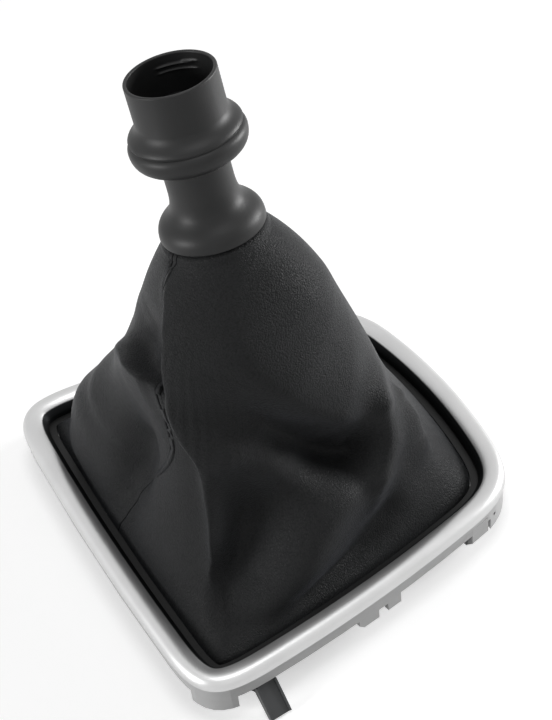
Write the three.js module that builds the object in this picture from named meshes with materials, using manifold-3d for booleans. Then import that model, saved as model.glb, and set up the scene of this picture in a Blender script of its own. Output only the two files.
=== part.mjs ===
// Gear lever gaiter: a soft leather boot between a two-part trim frame and a moulded collar.
// Millimetres, +Z up. X runs from the wide end of the frame (-X) to its narrow end (+X).
// The origin lies on the ground plane, under the middle of the frame.
import * as THREE from "three";
import { mergeVertices } from "three/addons/utils/BufferGeometryUtils.js";
import Module from "manifold-3d";

const wasm = await Module();
wasm.setup();

// Frame outline: a trapezoid with bulged sides and blended corners, at the parting line
const frameLength = 150;
const wideEndWidth = 176;
const narrowEndWidth = 126;
const sideBulge = 4.8;
const wideEndBulge = 2.8;
const narrowEndBulge = 8.5;
const wideCornerCut = 27;
const narrowCornerCut = 25;
const wideCornerFullness = 0.8;
const narrowCornerFullness = 0.77;

// Clearance between pieces that rest on, or are fitted into, each other
const clearance = 0.3;

// Trim bezel: a hollow crown with its highest line near the outside
const crownWidth = 10.4;
const crownHeight = 4.4;
const crownPeakInset = 4.2;
const crownWall = 1.8;
const crownEdge = 0.9;

// Skirt frame: the wall under the crown, with tabs at the corners and sides
const skirtInset = 0.8;
const skirtWall = 2.2;
const skirtDepth = 6;
const shelfThickness = 1.6;
const cornerTabReach = 14.3;
const cornerTabDrop = 12;
const centreTabWidth = 20.4;
const centreTabDrop = 11;
const centreTabShift = 2.2;
const notchWidth = 4.5;
const notchHeight = 4;
const notchShift = 1.5;
const clipWidth = 9;
const clipDepth = 6;
const clipDrop = 13;
const clipFromCorner = 21;
const clipSlant = 2.5;
const screwHoleDiameter = 1.6;
const screwHoleFromCorner = 11.4;

// Retainer frame: holds the boot's hem from below and carries the snap tongues
const retainerWall = 1.8;
const retainerLip = 1.4;
const tongueWidth = 8.6;
const tongueThickness = 2;
const tongueDrop = 19;
const tongueSplay = 10;
const tongueFromCorner = 26;
const tongueRib = 0.9;
const gussetReach = 7.5;
const gussetDrop = 6;
const hookWidth = 6.6;
const hookDrop = 14;
const hookShift = -0.6;

// Leather boot
const leatherThickness = 1.2;
const hemInset = 13.7;
const hemLap = 5;
const sillInset = 14.2;
const sillDrop = 1;
const bootWaist = 0.05;
const cornerSoftening = 0.16;
const softeningArc = 42;
const hemStillness = 0.06;
const topStillness = 12;
const seamGap = 0.4;
const seamOffset = 7;
const seamSway = 26;
const seamSwayStart = 0.15;
const seamSwayFull = 0.5;
const seamSwayEnd = 0.6;
const collarTwist = 18;
const topFoldRadius = 3.35;
const topFoldGap = 0.5;
const topHemLap = 8;

// Collar, measured along its own leaning axis from the bell's rim
const collarFootX = -11.4;
const collarFootY = 0;
const collarFootRise = 129.2;
const collarLeanX = -3.6;
const collarLeanY = 9.6;
const bellDiameter = 38;
const bellHeight = 10.5;
const bellWall = 2;
const neckDiameter = 23.6;
const ringDiameter = 41.5;
const ringBase = 29.6;
const ringHeight = 14;
const ringGroove = 1.4;
const neckStep = 2.2;
const cupDiameter = 32;
const cupWall = 1.4;
const cupDepth = 14.5;
const collarHeight = 60;
const boreDiameter = 17;
const spigotDiameter = 25;
const spigotLength = 14;

// Clamp band round the boot's top hem
const bandThickness = 1.2;
const bandWidth = 5;

// Fineness of the surfaces
const sideSteps = 6;
const cornerSteps = 10;
const roundSteps = 48;
const nearColumns = 48;
const farColumns = 28;
const panelRows = 30;
const foldSteps = 32;
const flankTurn = 1.5;
const crispPower = 1.2;

// The folds of the boot. Each follows a route of [degrees round the boot, share of its height];
// heights are millimetres out of the plain boot along the route, negative for a hollow,
// and left and right are the widths of its two flanks, seen from outside going along the route.
// Sharpness runs from 0, a round crest, to 1, and lean tips the crest over to its left side.
const folds = [
  {
    name: "far shoulder hollow", left: 14, right: 22, sharpness: 0, lean: 0,
    route: [
      [-226, 0.9], [-223, 0.76], [-219, 0.64], [-217, 0.54],
    ],
    heights: [-1, -4, -9, -10],
  },
  {
    name: "wide end valley", left: 9, right: 12, sharpness: 0, lean: 0,
    route: [
      [-188, 0.05], [-186, 0.14], [-184, 0.24], [-180, 0.36], [-172, 0.46],
    ],
    heights: [-2, -6, -9, -8, -3],
  },
  {
    name: "left pouch", left: 20, right: 20, sharpness: 0, lean: 0,
    route: [
      [-225, 0.12], [-222, 0.25], [-216, 0.36], [-210, 0.44],
    ],
    heights: [8, 12, 10, 5],
  },
  {
    name: "shoulder", left: 24, right: 24, sharpness: 0, lean: 0,
    route: [
      [-43.5, 0.93], [-54.5, 0.83], [-55, 0.715],
    ],
    heights: [5, 5, 1],
  },
  {
    name: "near bulge", left: 24, right: 9, sharpness: 0, lean: 0,
    route: [
      [-111, 0.87], [-107, 0.765], [-95, 0.635], [-74.5, 0.515], [-59.5, 0.45],
    ],
    heights: [3, 6, 9, 9, 5],
  },
  {
    name: "left ridge", left: 14, right: 6, sharpness: 0.3, lean: -0.4,
    route: [
      [-169.5, 1], [-154.5, 0.92], [-144.5, 0.845], [-139.5, 0.745], [-137.5, 0.65], [-135.5, 0.585],
      [-131, 0.52], [-130, 0.405], [-130.5, 0.28], [-132.5, 0.16], [-135, 0.09],
    ],
    heights: [2, 7, 10, 12, 11, 10, 9, 9, 9, 6, 1],
  },
  {
    name: "recess", left: 8, right: 12, sharpness: 0, lean: 0,
    route: [
      [-183.5, 0.845], [-191, 0.725], [-211.5, 0.555],
    ],
    heights: [0, -3, -9],
  },
  {
    name: "corner hollow", left: 15, right: 9, sharpness: 0, lean: 0,
    route: [
      [-120.5, 0.45], [-122, 0.285], [-126.5, 0.165], [-130.5, 0.095],
    ],
    heights: [-5, -11, -12, -6],
  },
  {
    name: "under bulge", left: 8, right: 8, sharpness: 0.2, lean: 0,
    route: [
      [-131.5, 0.665], [-122.5, 0.635], [-110, 0.565], [-94, 0.45],
      [-80.5, 0.35], [-70.5, 0.305], [-65, 0.32],
    ],
    heights: [-1, -3, -6, -9, -13, -13, -7],
  },
  {
    name: "shelf", left: 10, right: 10, sharpness: 0, lean: 0,
    route: [
      [-126.5, 0.565], [-118, 0.52], [-107, 0.425],
    ],
    heights: [2, 4, 5],
  },
  {
    name: "diagonal ridge", left: 12, right: 12, sharpness: 0, lean: 0,
    route: [
      [-66.5, 0.28], [-85, 0.24], [-102, 0.18], [-115, 0.08], [-126, 0.025],
    ],
    heights: [5, 6, 6, 4, 1],
  },
  {
    name: "diagonal hollow", left: 8, right: 8, sharpness: 0, lean: 0,
    route: [
      [-69.5, 0.135], [-89.5, 0.06], [-108, 0.02], [-120.5, 0.01],
    ],
    heights: [-3, -4, -4, -1],
  },
  {
    name: "right ridge", left: 10, right: 5, sharpness: 0.4, lean: 0,
    route: [
      [-47, 0.475], [-54.5, 0.435], [-57.5, 0.33], [-67, 0.245], [-72.5, 0.18], [-75.5, 0.11],
    ],
    heights: [3, 7, 8, 6, 3, 0],
  },
  {
    name: "corner fold", left: 5, right: 10, sharpness: 0.2, lean: 0,
    route: [
      [-37, 0.405], [-39, 0.355], [-41, 0.285], [-41, 0.2], [-41, 0.125],
    ],
    heights: [1, 5, 7, 5, 1],
  },
  {
    name: "pouch crest", left: 7, right: 14, sharpness: 0, lean: 0.5,
    route: [
      [-220.5, 0.465], [-172, 0.655], [-160.5, 0.655], [-154, 0.655], [-144.5, 0.675],
    ],
    heights: [11, 12, 11, 8, 4],
  },
];

const partingHeight = tongueDrop;
const outlineMiddle = (narrowEndBulge - wideEndBulge) / 2;
const wideCornerX = -frameLength / 2 - outlineMiddle;
const narrowCornerX = frameLength / 2 - outlineMiddle;
const degrees = THREE.MathUtils.degToRad;

// Outline of the frame

function bulgedSide(start, end, bulge) {
  const run = end.clone().sub(start);
  const outward = new THREE.Vector2(run.y, -run.x).normalize();
  return (t) => start.clone().addScaledVector(run, t).addScaledVector(outward, 4 * bulge * t * (1 - t));
}

function direction(curve, t) {
  const step = 1e-4;
  return curve(t + step).sub(curve(t - step)).normalize();
}

function frameOutline(perSide, perCorner) {
  const nearWide = new THREE.Vector2(wideCornerX, -wideEndWidth / 2);
  const nearNarrow = new THREE.Vector2(narrowCornerX, -narrowEndWidth / 2);
  const farNarrow = new THREE.Vector2(narrowCornerX, narrowEndWidth / 2);
  const farWide = new THREE.Vector2(wideCornerX, wideEndWidth / 2);
  const wide = { cut: wideCornerCut, fullness: wideCornerFullness };
  const narrow = { cut: narrowCornerCut, fullness: narrowCornerFullness };
  const sides = [
    { start: nearWide, end: nearNarrow, bulge: sideBulge, from: wide, to: narrow },
    { start: nearNarrow, end: farNarrow, bulge: narrowEndBulge, from: narrow, to: narrow },
    { start: farNarrow, end: farWide, bulge: sideBulge, from: narrow, to: wide },
    { start: farWide, end: nearWide, bulge: wideEndBulge, from: wide, to: wide },
  ];
  for (const side of sides) {
    const length = side.start.distanceTo(side.end);
    side.curve = bulgedSide(side.start, side.end, side.bulge);
    side.first = side.from.cut / length;
    side.last = 1 - side.to.cut / length;
  }
  const points = [];
  sides.forEach((side, index) => {
    const next = sides[(index + 1) % sides.length];
    for (let step = 0; step < perSide; step++) {
      points.push(side.curve(side.first + ((side.last - side.first) * step) / perSide));
    }
    const from = side.curve(side.last);
    const to = next.curve(next.first);
    const handle = side.to.cut * side.to.fullness;
    const corner = new THREE.CubicBezierCurve(
      from,
      from.clone().addScaledVector(direction(side.curve, side.last), handle),
      to.clone().addScaledVector(direction(next.curve, next.first), -handle),
      to,
    );
    for (let step = 0; step < perCorner; step++) points.push(corner.getPoint(step / perCorner));
  });
  return points.map((point, index) => {
    const before = points[(index + points.length - 1) % points.length];
    const after = points[(index + 1) % points.length];
    const run = after.clone().sub(before);
    return { point, outward: new THREE.Vector2(run.y, -run.x).normalize() };
  });
}

const stations = frameOutline(sideSteps, cornerSteps);
const sideLength = Math.hypot(frameLength, (wideEndWidth - narrowEndWidth) / 2);

// Solids

function solidFrom(geometry) {
  const bare = new THREE.BufferGeometry();
  bare.setAttribute("position", geometry.getAttribute("position").clone());
  if (geometry.index) bare.setIndex(geometry.index.clone());
  const merged = mergeVertices(bare, 1e-4);
  const vertProperties = Float32Array.from(merged.getAttribute("position").array);
  const triVerts = Uint32Array.from(merged.index.array);
  return new wasm.Manifold(new wasm.Mesh({ numProp: 3, vertProperties, triVerts }));
}

function geometryFrom(solid) {
  const { vertProperties, triVerts } = solid.getMesh();
  const geometry = new THREE.BufferGeometry();
  geometry.setAttribute("position", new THREE.Float32BufferAttribute(vertProperties, 3));
  geometry.setIndex(Array.from(triVerts));
  return geometry;
}

// A ring round the frame: a closed profile of [offset outwards, height above the parting line]
function ringGeometry(profile) {
  const positions = [];
  for (const { point, outward } of stations) {
    for (const [offset, rise] of profile) {
      positions.push(point.x + outward.x * offset, point.y + outward.y * offset, partingHeight + rise);
    }
  }
  const index = [];
  const across = profile.length;
  stations.forEach((station, i) => {
    const here = i * across;
    const there = ((i + 1) % stations.length) * across;
    for (let j = 0; j < across; j++) {
      const k = (j + 1) % across;
      index.push(here + j, there + j, there + k, here + j, there + k, here + k);
    }
  });
  return indexed(positions, index);
}

function indexed(positions, index) {
  const geometry = new THREE.BufferGeometry();
  geometry.setAttribute("position", new THREE.Float32BufferAttribute(positions, 3));
  geometry.setIndex(index);
  return geometry;
}

// Legs and tabs are made in the frame of a long side: x along it, y inwards from the parting
// line's outline, z up from the parting line

// A wall that runs right round the frame, from half the skirt's depth down
function deepWall(outerInset, innerInset, drop) {
  return solidFrom(ringGeometry([
    [-outerInset, -drop],
    [-outerInset, -skirtDepth / 2],
    [-innerInset, -skirtDepth / 2],
    [-innerInset, -drop],
  ]));
}

// The piece of a wall that lies behind an outline in x and z, on both long sides
function wallPieces(wall, shape, fromWideCorner) {
  const depth = 4 * crownWidth;
  const geometry = new THREE.ExtrudeGeometry(shape, { depth, bevelEnabled: false, curveSegments: 8 });
  geometry.rotateX(Math.PI / 2).translate(0, depth / 2, 0);
  return onBothSides(geometry, fromWideCorner).map((cutter) => wall.intersect(cutter));
}

// A strip with its section in y and z, centred on x
function crossStrip(section, width, shift = 0) {
  const shape = new THREE.Shape(section.map(([y, z]) => new THREE.Vector2(y, z)));
  const geometry = new THREE.ExtrudeGeometry(shape, { depth: width, bevelEnabled: false });
  const turn = new THREE.Matrix4().makeBasis(
    new THREE.Vector3(0, 1, 0), new THREE.Vector3(0, 0, 1), new THREE.Vector3(1, 0, 0),
  );
  return geometry.applyMatrix4(turn).translate(shift - width / 2, 0, 0);
}

function polygon(points) {
  return new THREE.Shape(points.map(([x, y]) => new THREE.Vector2(x, y)));
}

function mirrored(geometry) {
  const copy = geometry.clone().scale(1, -1, 1);
  const index = copy.index ? Array.from(copy.index.array)
    : Array.from({ length: copy.getAttribute("position").count }, (unused, i) => i);
  for (let i = 0; i < index.length; i += 3) [index[i], index[i + 1]] = [index[i + 1], index[i]];
  return copy.setIndex(index);
}

// The same leg on the near side and, mirrored, on the far side
function onBothSides(geometry, fromWideCorner) {
  const start = new THREE.Vector2(wideCornerX, -wideEndWidth / 2);
  const end = new THREE.Vector2(narrowCornerX, -narrowEndWidth / 2);
  const side = bulgedSide(start, end, sideBulge);
  const t = fromWideCorner / start.distanceTo(end);
  const along = direction(side, t);
  const at = side(t);
  const turn = new THREE.Matrix4().makeBasis(
    new THREE.Vector3(along.x, along.y, 0),
    new THREE.Vector3(-along.y, along.x, 0),
    new THREE.Vector3(0, 0, 1),
  );
  const near = geometry.clone().applyMatrix4(turn).translate(at.x, at.y, partingHeight);
  return [solidFrom(near), solidFrom(mirrored(near))];
}

function box(low, high) {
  const size = new THREE.Vector3().subVectors(high, low);
  const middle = new THREE.Vector3().addVectors(low, high).multiplyScalar(0.5);
  return new THREE.BoxGeometry(size.x, size.y, size.z).translate(middle.x, middle.y, middle.z);
}

// Trim bezel

const seatRise = clearance / 2;
const footRise = -seatRise - shelfThickness;

function bezelGeometry() {
  const inner = -crownWidth;
  const hollowHeight = crownHeight - crownWall;
  const path = new THREE.Path();
  path.moveTo(0, seatRise);
  path.lineTo(0, crownEdge);
  path.quadraticCurveTo(-crownPeakInset * 0.2, crownHeight, -crownPeakInset, crownHeight);
  path.bezierCurveTo(
    inner * 0.68, crownHeight, inner * 0.9, crownHeight * 0.5, inner, 0,
  );
  path.lineTo(inner, footRise);
  path.lineTo(inner + crownWall, footRise);
  path.lineTo(inner + crownWall, 0);
  path.quadraticCurveTo(inner * 0.66, hollowHeight, -crownPeakInset, hollowHeight);
  path.quadraticCurveTo(-crownWall - 0.2, hollowHeight, -crownWall, seatRise);
  return ringGeometry(path.getPoints(5).map(({ x, y }) => [x, y]));
}

// Skirt frame

const skirtOuter = skirtInset;
const skirtInner = skirtInset + skirtWall;

function cornerTabs() {
  const wall = deepWall(skirtOuter, skirtInner, cornerTabDrop);
  const margin = 2 * crownWidth;
  const corners = [
    { x: wideCornerX, inwards: 1, y: wideEndWidth / 2 },
    { x: narrowCornerX, inwards: -1, y: narrowEndWidth / 2 },
  ];
  const tabs = [];
  for (const { x, inwards, y } of corners) {
    const xs = [x - inwards * margin, x + inwards * cornerTabReach].sort((a, b) => a - b);
    for (const side of [-1, 1]) {
      const ys = [side * (y + margin), side * (y - cornerTabReach)].sort((a, b) => a - b);
      const around = box(new THREE.Vector3(xs[0], ys[0], 0), new THREE.Vector3(xs[1], ys[1], partingHeight));
      tabs.push(wall.intersect(solidFrom(around)));
    }
  }
  return tabs;
}

function centreTabs() {
  const half = centreTabWidth / 2;
  const notchLeft = notchShift - notchWidth / 2;
  const notchRight = notchShift + notchWidth / 2;
  const notchTop = notchHeight - centreTabDrop;
  const bevel = skirtWall;
  const shape = polygon([
    [-half, 0], [-half, bevel - centreTabDrop], [bevel - half, -centreTabDrop],
    [notchLeft, -centreTabDrop], [notchLeft, notchTop], [notchRight, notchTop],
    [notchRight, -centreTabDrop], [half, -centreTabDrop], [half, 0],
  ]);
  const wall = deepWall(skirtOuter, skirtInner, centreTabDrop);
  return wallPieces(wall, shape, sideLength / 2 + centreTabShift);
}

// A box clip whose inner part hangs below the retainer's lower edge
function boxClip() {
  const under = -skirtDepth - retainerLip - clearance;
  return crossStrip([
    [skirtOuter, -skirtDepth / 2], [skirtOuter, clipSlant - clipDrop], [skirtOuter + clipSlant, -clipDrop],
    [skirtOuter + clipDepth, -clipDrop], [skirtOuter + clipDepth, under], [skirtInner, under],
    [skirtInner, -skirtDepth / 2],
  ], clipWidth);
}

function screwHole() {
  const drill = new THREE.CylinderGeometry(screwHoleDiameter / 2, screwHoleDiameter / 2, 4 * crownWidth, 12);
  return drill.translate(0, 0, -skirtDepth);
}

function skirtGeometry() {
  const shelfEnd = crownWidth - crownWall - clearance;
  const ring = solidFrom(ringGeometry([
    [-skirtOuter, -skirtDepth], [-skirtOuter, -seatRise], [-shelfEnd, -seatRise],
    [-shelfEnd, footRise], [-skirtInner, footRise], [-skirtInner, -skirtDepth],
  ]));
  const parts = [
    ...cornerTabs(),
    ...centreTabs(),
    ...onBothSides(boxClip(), sideLength - clipFromCorner),
  ];
  let solid = ring;
  for (const part of parts) solid = solid.add(part);
  for (const hole of onBothSides(screwHole(), sideLength - screwHoleFromCorner)) solid = solid.subtract(hole);
  return geometryFrom(solid);
}

// Retainer frame

const retainerOuter = skirtInner + clearance;
const retainerInner = hemInset - clearance;
const retainerTop = footRise - clearance;
const retainerBottom = -skirtDepth - retainerLip;

// The tongue leaves the retainer's lower edge and splays outwards below the skirt
function tongue() {
  const start = new THREE.Vector2(retainerOuter, -skirtDepth - 2 * clearance);
  const inner = new THREE.Vector2(retainerOuter + retainerWall + tongueRib, retainerBottom - 2 * clearance);
  const outerEnd = new THREE.Vector2(retainerOuter - tongueSplay, tongueThickness / 2 - tongueDrop);
  const innerEnd = new THREE.Vector2(outerEnd.x + tongueThickness, -tongueDrop);
  const strip = crossStrip([
    [start.x, start.y],
    [outerEnd.x, outerEnd.y],
    [innerEnd.x, innerEnd.y],
    [inner.x, inner.y],
    [inner.x, start.y],
  ], tongueWidth);
  const down = outerEnd.clone().sub(start).normalize();
  const face = new THREE.Vector2(down.y, -down.x);
  const ribTop = start.clone().addScaledVector(down, 2 * tongueRib);
  const ribs = [-1, 1].map((side) => crossStrip([
    [ribTop.x, ribTop.y],
    [ribTop.x + face.x * tongueRib, ribTop.y + face.y * tongueRib],
    [outerEnd.x + face.x * tongueRib * 0.6, outerEnd.y + face.y * tongueRib * 0.6],
    [outerEnd.x, outerEnd.y],
    [outerEnd.x - face.x * tongueRib, outerEnd.y - face.y * tongueRib],
    [ribTop.x - face.x * tongueRib, ribTop.y - face.y * tongueRib],
  ], tongueRib, (side * (tongueWidth - tongueRib)) / 2));
  return [strip, ...ribs];
}

// A web that stiffens the retainer's lower edge beside a leg, on its wide-end side
function gussets(legEdge, fromWideCorner) {
  const wall = deepWall(retainerOuter, retainerOuter + retainerWall, gussetDrop - retainerBottom);
  const shape = new THREE.Shape();
  shape.moveTo(-legEdge, 0);
  shape.lineTo(-legEdge - gussetReach, 0);
  shape.lineTo(-legEdge - gussetReach, retainerBottom);
  shape.quadraticCurveTo(
    -legEdge - gussetReach / 4, retainerBottom,
    -legEdge, retainerBottom - gussetDrop,
  );
  return wallPieces(wall, shape, fromWideCorner);
}

function roundHooks() {
  const wall = deepWall(retainerOuter, retainerOuter + retainerWall, hookDrop);
  const radius = hookWidth / 2;
  const shape = new THREE.Shape();
  shape.moveTo(radius, 0);
  shape.lineTo(-radius, 0);
  shape.lineTo(-radius, radius - hookDrop);
  shape.absarc(0, radius - hookDrop, radius, Math.PI, 2 * Math.PI);
  return wallPieces(wall, shape, sideLength / 2 + hookShift);
}

function retainerGeometry() {
  const flange = retainerTop - retainerWall;
  const ring = solidFrom(ringGeometry([
    [-retainerOuter, retainerBottom], [-retainerOuter, retainerTop], [-retainerInner, retainerTop],
    [-retainerInner, retainerBottom], [retainerWall - retainerInner, retainerBottom],
    [retainerWall - retainerInner, flange], [-retainerOuter - retainerWall, flange],
    [-retainerOuter - retainerWall, retainerBottom],
  ]));
  const parts = [
    ...tongue().flatMap((piece) => onBothSides(piece, tongueFromCorner)),
    ...gussets(tongueWidth / 2 - tongueRib, tongueFromCorner),
    ...gussets(clipWidth / 2 + clearance, sideLength - clipFromCorner),
    ...roundHooks(),
  ];
  let solid = ring;
  for (const part of parts) solid = solid.add(part);
  return geometryFrom(solid);
}

// Leather boot

const collarFoot = new THREE.Vector3(collarFootX, collarFootY, partingHeight + collarFootRise);
const collarAxis = new THREE.Vector3(collarLeanX, collarLeanY, collarHeight).normalize();
const collarAcross = new THREE.Vector3(0, 1, 0).addScaledVector(collarAxis, -collarAxis.y).normalize();
const collarAlong = collarAcross.clone().cross(collarAxis).normalize();
const topHemRadius = spigotDiameter / 2 + clearance;
const topFoldCentre = topHemRadius + topFoldRadius;
const topDrop = topFoldGap + topFoldRadius;
const sillHeight = partingHeight - sillDrop;

// The frame's outline, moved inwards, as a distance from the middle for each direction
function outlineDistance(inset) {
  const samples = frameOutline(40, 40).map(({ point, outward }) => {
    const moved = point.clone().addScaledVector(outward, -inset);
    return { angle: moved.angle(), distance: moved.length() };
  });
  samples.sort((a, b) => a.angle - b.angle);
  const turn = 2 * Math.PI;
  const first = samples[0];
  const last = samples[samples.length - 1];
  samples.push({ angle: first.angle + turn, distance: first.distance });
  samples.unshift({ angle: last.angle - turn, distance: last.distance });
  return (direct) => {
    const angle = THREE.MathUtils.euclideanModulo(direct, turn);
    let low = 0;
    let high = samples.length - 1;
    while (high - low > 1) {
      const middle = (low + high) >> 1;
      if (samples[middle].angle > angle) high = middle;
      else low = middle;
    }
    const share = (angle - samples[low].angle) / (samples[high].angle - samples[low].angle);
    return THREE.MathUtils.lerp(samples[low].distance, samples[high].distance, share);
  };
}

const sillDistance = outlineDistance(sillInset);
const lapOuterDistance = outlineDistance(hemInset);
const lapInnerDistance = outlineDistance(hemInset + leatherThickness);

// The sill's distance averaged over a wide arc, which rounds the corners above the frame
function softDistance(angle) {
  let sum = 0;
  let weight = 0;
  for (let turn = -softeningArc; turn <= softeningArc; turn += softeningArc / 14) {
    const share = 1 + Math.cos((Math.PI * turn) / softeningArc);
    sum += share * sillDistance(angle + degrees(turn));
    weight += share;
  }
  return sum / weight;
}

function topPoint(angle, radius, rise) {
  return collarFoot.clone()
    .addScaledVector(collarAxis, rise)
    .addScaledVector(collarAlong, radius * Math.cos(angle))
    .addScaledVector(collarAcross, radius * Math.sin(angle));
}

// The boot without its folds: from the frame's sill (share 0) to the top fold (share 1)
function plainPoint(angle, share) {
  const softness = 1 - (1 - Math.min(1, share / cornerSoftening)) ** 2;
  const distance = THREE.MathUtils.lerp(sillDistance(angle), softDistance(angle), softness);
  const inwards = share + bootWaist * Math.sin(2 * Math.PI * share);
  const foot = new THREE.Vector3(distance * Math.cos(angle), distance * Math.sin(angle), sillHeight);
  const top = topPoint(angle, topHemRadius + 2 * topFoldRadius, -topDrop);
  return new THREE.Vector3(
    THREE.MathUtils.lerp(foot.x, top.x, inwards),
    THREE.MathUtils.lerp(foot.y, top.y, inwards),
    THREE.MathUtils.lerp(foot.z, top.z, share),
  );
}

function plainNormal(angle, share) {
  const step = 0.01;
  const around = plainPoint(angle + step, share).sub(plainPoint(angle - step, share));
  const up = plainPoint(angle, Math.min(1, share + step)).sub(plainPoint(angle, Math.max(0, share - step)));
  return around.cross(up).normalize();
}

// A fold's route over the plain boot, as short straight pieces
const foldRoutes = folds.map((fold) => {
  const stops = fold.route.map(([turn, share]) => plainPoint(degrees(turn), share));
  const curve = new THREE.CatmullRomCurve3(stops, false, "centripetal");
  const points = curve.getPoints(foldSteps);
  const pieces = [];
  for (let step = 0; step < foldSteps; step++) {
    const run = points[step + 1].clone().sub(points[step]);
    const middle = points[step].clone().add(points[step + 1]).multiplyScalar(0.5);
    pieces.push({ middle, length: run.length(), along: run.normalize(), share: (step + 0.5) / foldSteps });
  }
  return { ...fold, pieces };
});

function valueAlong(values, share) {
  const place = share * (values.length - 1);
  const index = Math.min(values.length - 2, Math.floor(place));
  const ease = THREE.MathUtils.smoothstep(place - index, 0, 1);
  return THREE.MathUtils.lerp(values[index], values[index + 1], ease);
}

// How one fold moves the leather at a point, by a smooth distance to its route, so that the
// folds run into each other without a crease
function foldMove(fold, point, normal) {
  const reach = (fold.left + fold.right) / 4;
  const away = new THREE.Vector3();
  const sideways = new THREE.Vector3();
  const leaning = new THREE.Vector3();
  let total = 0;
  let share = 0;
  let offset = 0;
  for (const piece of fold.pieces) {
    away.subVectors(point, piece.middle);
    sideways.crossVectors(normal, piece.along);
    const weight = piece.length * Math.exp(-away.lengthSq() / (reach * reach));
    total += weight;
    share += weight * piece.share;
    offset += weight * sideways.dot(away);
    leaning.addScaledVector(sideways, weight);
  }
  if (total < Number.MIN_VALUE) return leaning;
  const spread = Math.log(total / (reach * Math.sqrt(Math.PI)));
  const distance = reach * Math.sqrt(Math.max(0, -spread));
  const turned = Math.tanh((flankTurn * offset) / total / (reach / 2 + distance)) / Math.tanh(flankTurn);
  const width = THREE.MathUtils.lerp(fold.right, fold.left, (1 + turned) / 2);
  const power = THREE.MathUtils.lerp(2, crispPower, fold.sharpness);
  const lift = valueAlong(fold.heights, share / total) * Math.exp(-((distance / width) ** power));
  return leaning.normalize().multiplyScalar(fold.lean * lift).addScaledVector(normal, lift);
}

function bootPoint(angle, share) {
  const plain = plainPoint(angle, share);
  const normal = plainNormal(angle, share);
  const hold = THREE.MathUtils.smoothstep(share, 0, hemStillness) * (1 - share ** topStillness);
  const outer = plain.clone();
  for (const fold of foldRoutes) outer.addScaledVector(foldMove(fold, plain, normal), hold);
  return outer;
}

function bootNormal(angle, share) {
  const step = 0.02;
  const around = bootPoint(angle + step, share).sub(bootPoint(angle - step, share));
  const up = bootPoint(angle, share + step).sub(bootPoint(angle, Math.max(0, share - step)));
  return around.cross(up).normalize();
}

// Directions that share out the sill between two seams in equal lengths
function evenAngles(from, to, count) {
  const fine = 20 * count;
  const lengths = [0];
  const at = (step) => {
    const angle = THREE.MathUtils.lerp(from, to, step / fine);
    const distance = sillDistance(angle);
    return new THREE.Vector2(distance * Math.cos(angle), distance * Math.sin(angle));
  };
  for (let step = 1; step <= fine; step++) {
    lengths.push(lengths[step - 1] + at(step).distanceTo(at(step - 1)));
  }
  const angles = [];
  let step = 0;
  for (let column = 0; column <= count; column++) {
    const goal = (lengths[fine] * column) / count;
    while (step < fine && lengths[step] < goal - 1e-9) step++;
    angles.push(THREE.MathUtils.lerp(from, to, step / fine));
  }
  return angles;
}

// The seam of the wide end swings towards the near side between the frame and the top
function swayAt(share) {
  const out = THREE.MathUtils.smoothstep(share, seamSwayStart, seamSwayFull);
  return degrees(seamSway) * out * (1 - THREE.MathUtils.smoothstep(share, seamSwayEnd, 1));
}

// One panel between two seams: rows from the hem in the frame, up the boot, over the top fold
// and down the hem on the spigot
function panelGeometry(fromAngle, toAngle, panelColumns, wideEdge) {
  const hemAngles = evenAngles(fromAngle, toAngle, panelColumns);
  const outer = [];
  const inner = [];
  for (let column = 0; column <= panelColumns; column++) {
    const across = column / panelColumns;
    const swayed = (wideEdge === 0 ? 1 - across : across) ** 2;
    const edge = column === 0 ? 1 : column === panelColumns ? -1 : 0;
    const topAngle = THREE.MathUtils.lerp(fromAngle, toAngle, across) + degrees(collarTwist);
    const clearOfSeam = (radius) => (edge * seamGap) / 2 / radius;
    const outerRow = [];
    const innerRow = [];
    const hemAngle = hemAngles[column];
    const lapHeights = [sillHeight - hemLap, partingHeight + retainerTop - clearance];
    for (const height of lapHeights) {
      const angle = hemAngle + clearOfSeam(lapInnerDistance(hemAngle));
      const out = lapOuterDistance(angle);
      const back = lapInnerDistance(angle);
      outerRow.push(new THREE.Vector3(out * Math.cos(angle), out * Math.sin(angle), height));
      innerRow.push(new THREE.Vector3(back * Math.cos(angle), back * Math.sin(angle), height));
    }
    for (let row = 0; row < panelRows; row++) {
      const share = row / panelRows;
      const plain = THREE.MathUtils.lerp(hemAngle, topAngle, share) + swayed * swayAt(share);
      const radius = Math.hypot(plainPoint(plain, share).x, plainPoint(plain, share).y);
      const angle = plain + clearOfSeam(radius);
      const point = bootPoint(angle, share);
      outerRow.push(point);
      innerRow.push(point.clone().addScaledVector(bootNormal(angle, share), -leatherThickness));
    }
    for (const turn of [0, 45, 90, 135, 180]) {
      const backRadius = topFoldRadius - leatherThickness;
      const cos = Math.cos(degrees(turn));
      const sin = Math.sin(degrees(turn));
      const angle = topAngle + clearOfSeam(topHemRadius);
      outerRow.push(topPoint(angle, topFoldCentre + topFoldRadius * cos, topFoldRadius * sin - topDrop));
      innerRow.push(topPoint(angle, topFoldCentre + backRadius * cos, backRadius * sin - topDrop));
    }
    const hem = topAngle + clearOfSeam(topHemRadius);
    outerRow.push(topPoint(hem, topHemRadius, -topDrop - topHemLap));
    innerRow.push(topPoint(hem, topHemRadius + leatherThickness, -topDrop - topHemLap));
    outer.push(outerRow);
    inner.push(innerRow);
  }
  return shellGeometry(outer, inner);
}

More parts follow.
